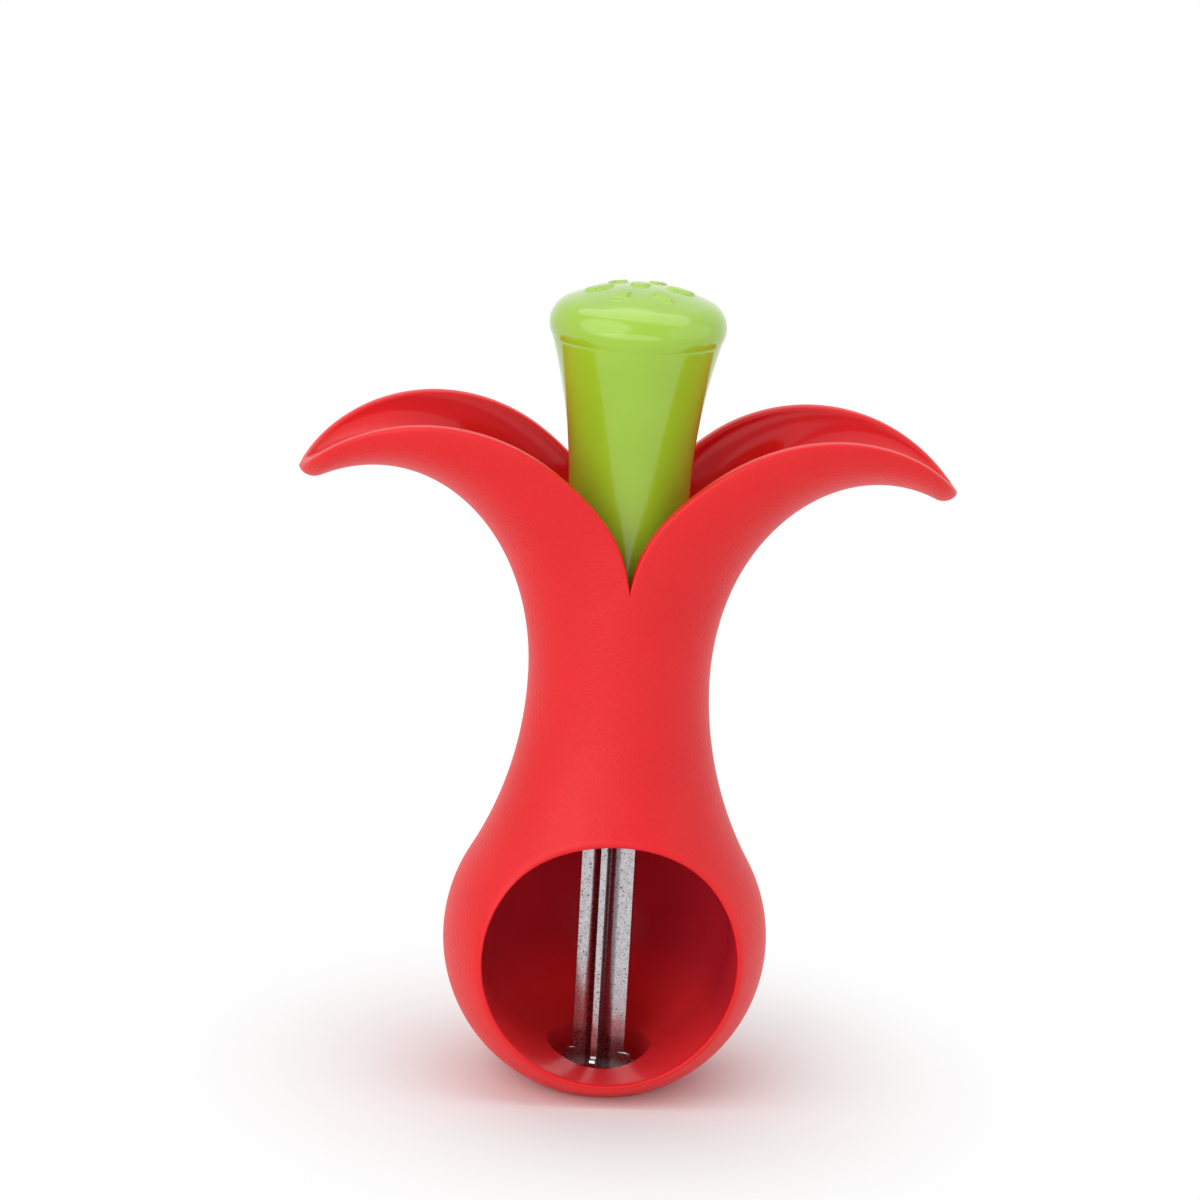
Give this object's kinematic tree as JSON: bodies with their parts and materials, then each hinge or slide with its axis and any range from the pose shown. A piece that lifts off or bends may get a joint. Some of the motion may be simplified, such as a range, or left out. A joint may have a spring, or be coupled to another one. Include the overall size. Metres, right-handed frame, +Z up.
{
  "type": "cherry pitter",
  "caption": "Hand-held push cherry pitter shaped like a flower: an open bulb chamber, curled petals for the fingers and a push handle that drives a cross-section steel rod through the cherry.",
  "frame": {"origin": "centre of the flat ring round the pit hole that the bulb stands on", "axes": "+Z up along the rod and the handle, -Y out of the chamber's window, the petals reach along -X and +X"},
  "size_m": [0.087, 0.0376, 0.1098],
  "materials": {
    "red_body": "fine-grained outside, glossy inside the petals and the chamber",
    "guide_plastic": "plain moulded",
    "green_handle": "polished moulded",
    "rod_steel": "satin stainless steel with brighter edges"
  },
  "bodies": {
    "body": {"petal_body": "red_body"},
    "guide": {"rod_guide": "guide_plastic"},
    "plunger": {"handle_stem": "green_handle", "handle_cap": "green_handle", "pit_rod": "rod_steel", "rod_socket": "guide_plastic", "rod_pin": "rod_steel", "socket_screw": "rod_steel"}
  },
  "joints": [
    {"name": "plunger_spin", "type": "hinge", "parent": "body", "child": "guide", "pos_m": [0, 0, 0.0405], "axis": [0, 0, 1], "continuous": true},
    {"name": "plunger_slide", "type": "slide", "parent": "guide", "child": "plunger", "axis": [0, 0, 1], "range_m": [0, 0.0337]}
  ]
}
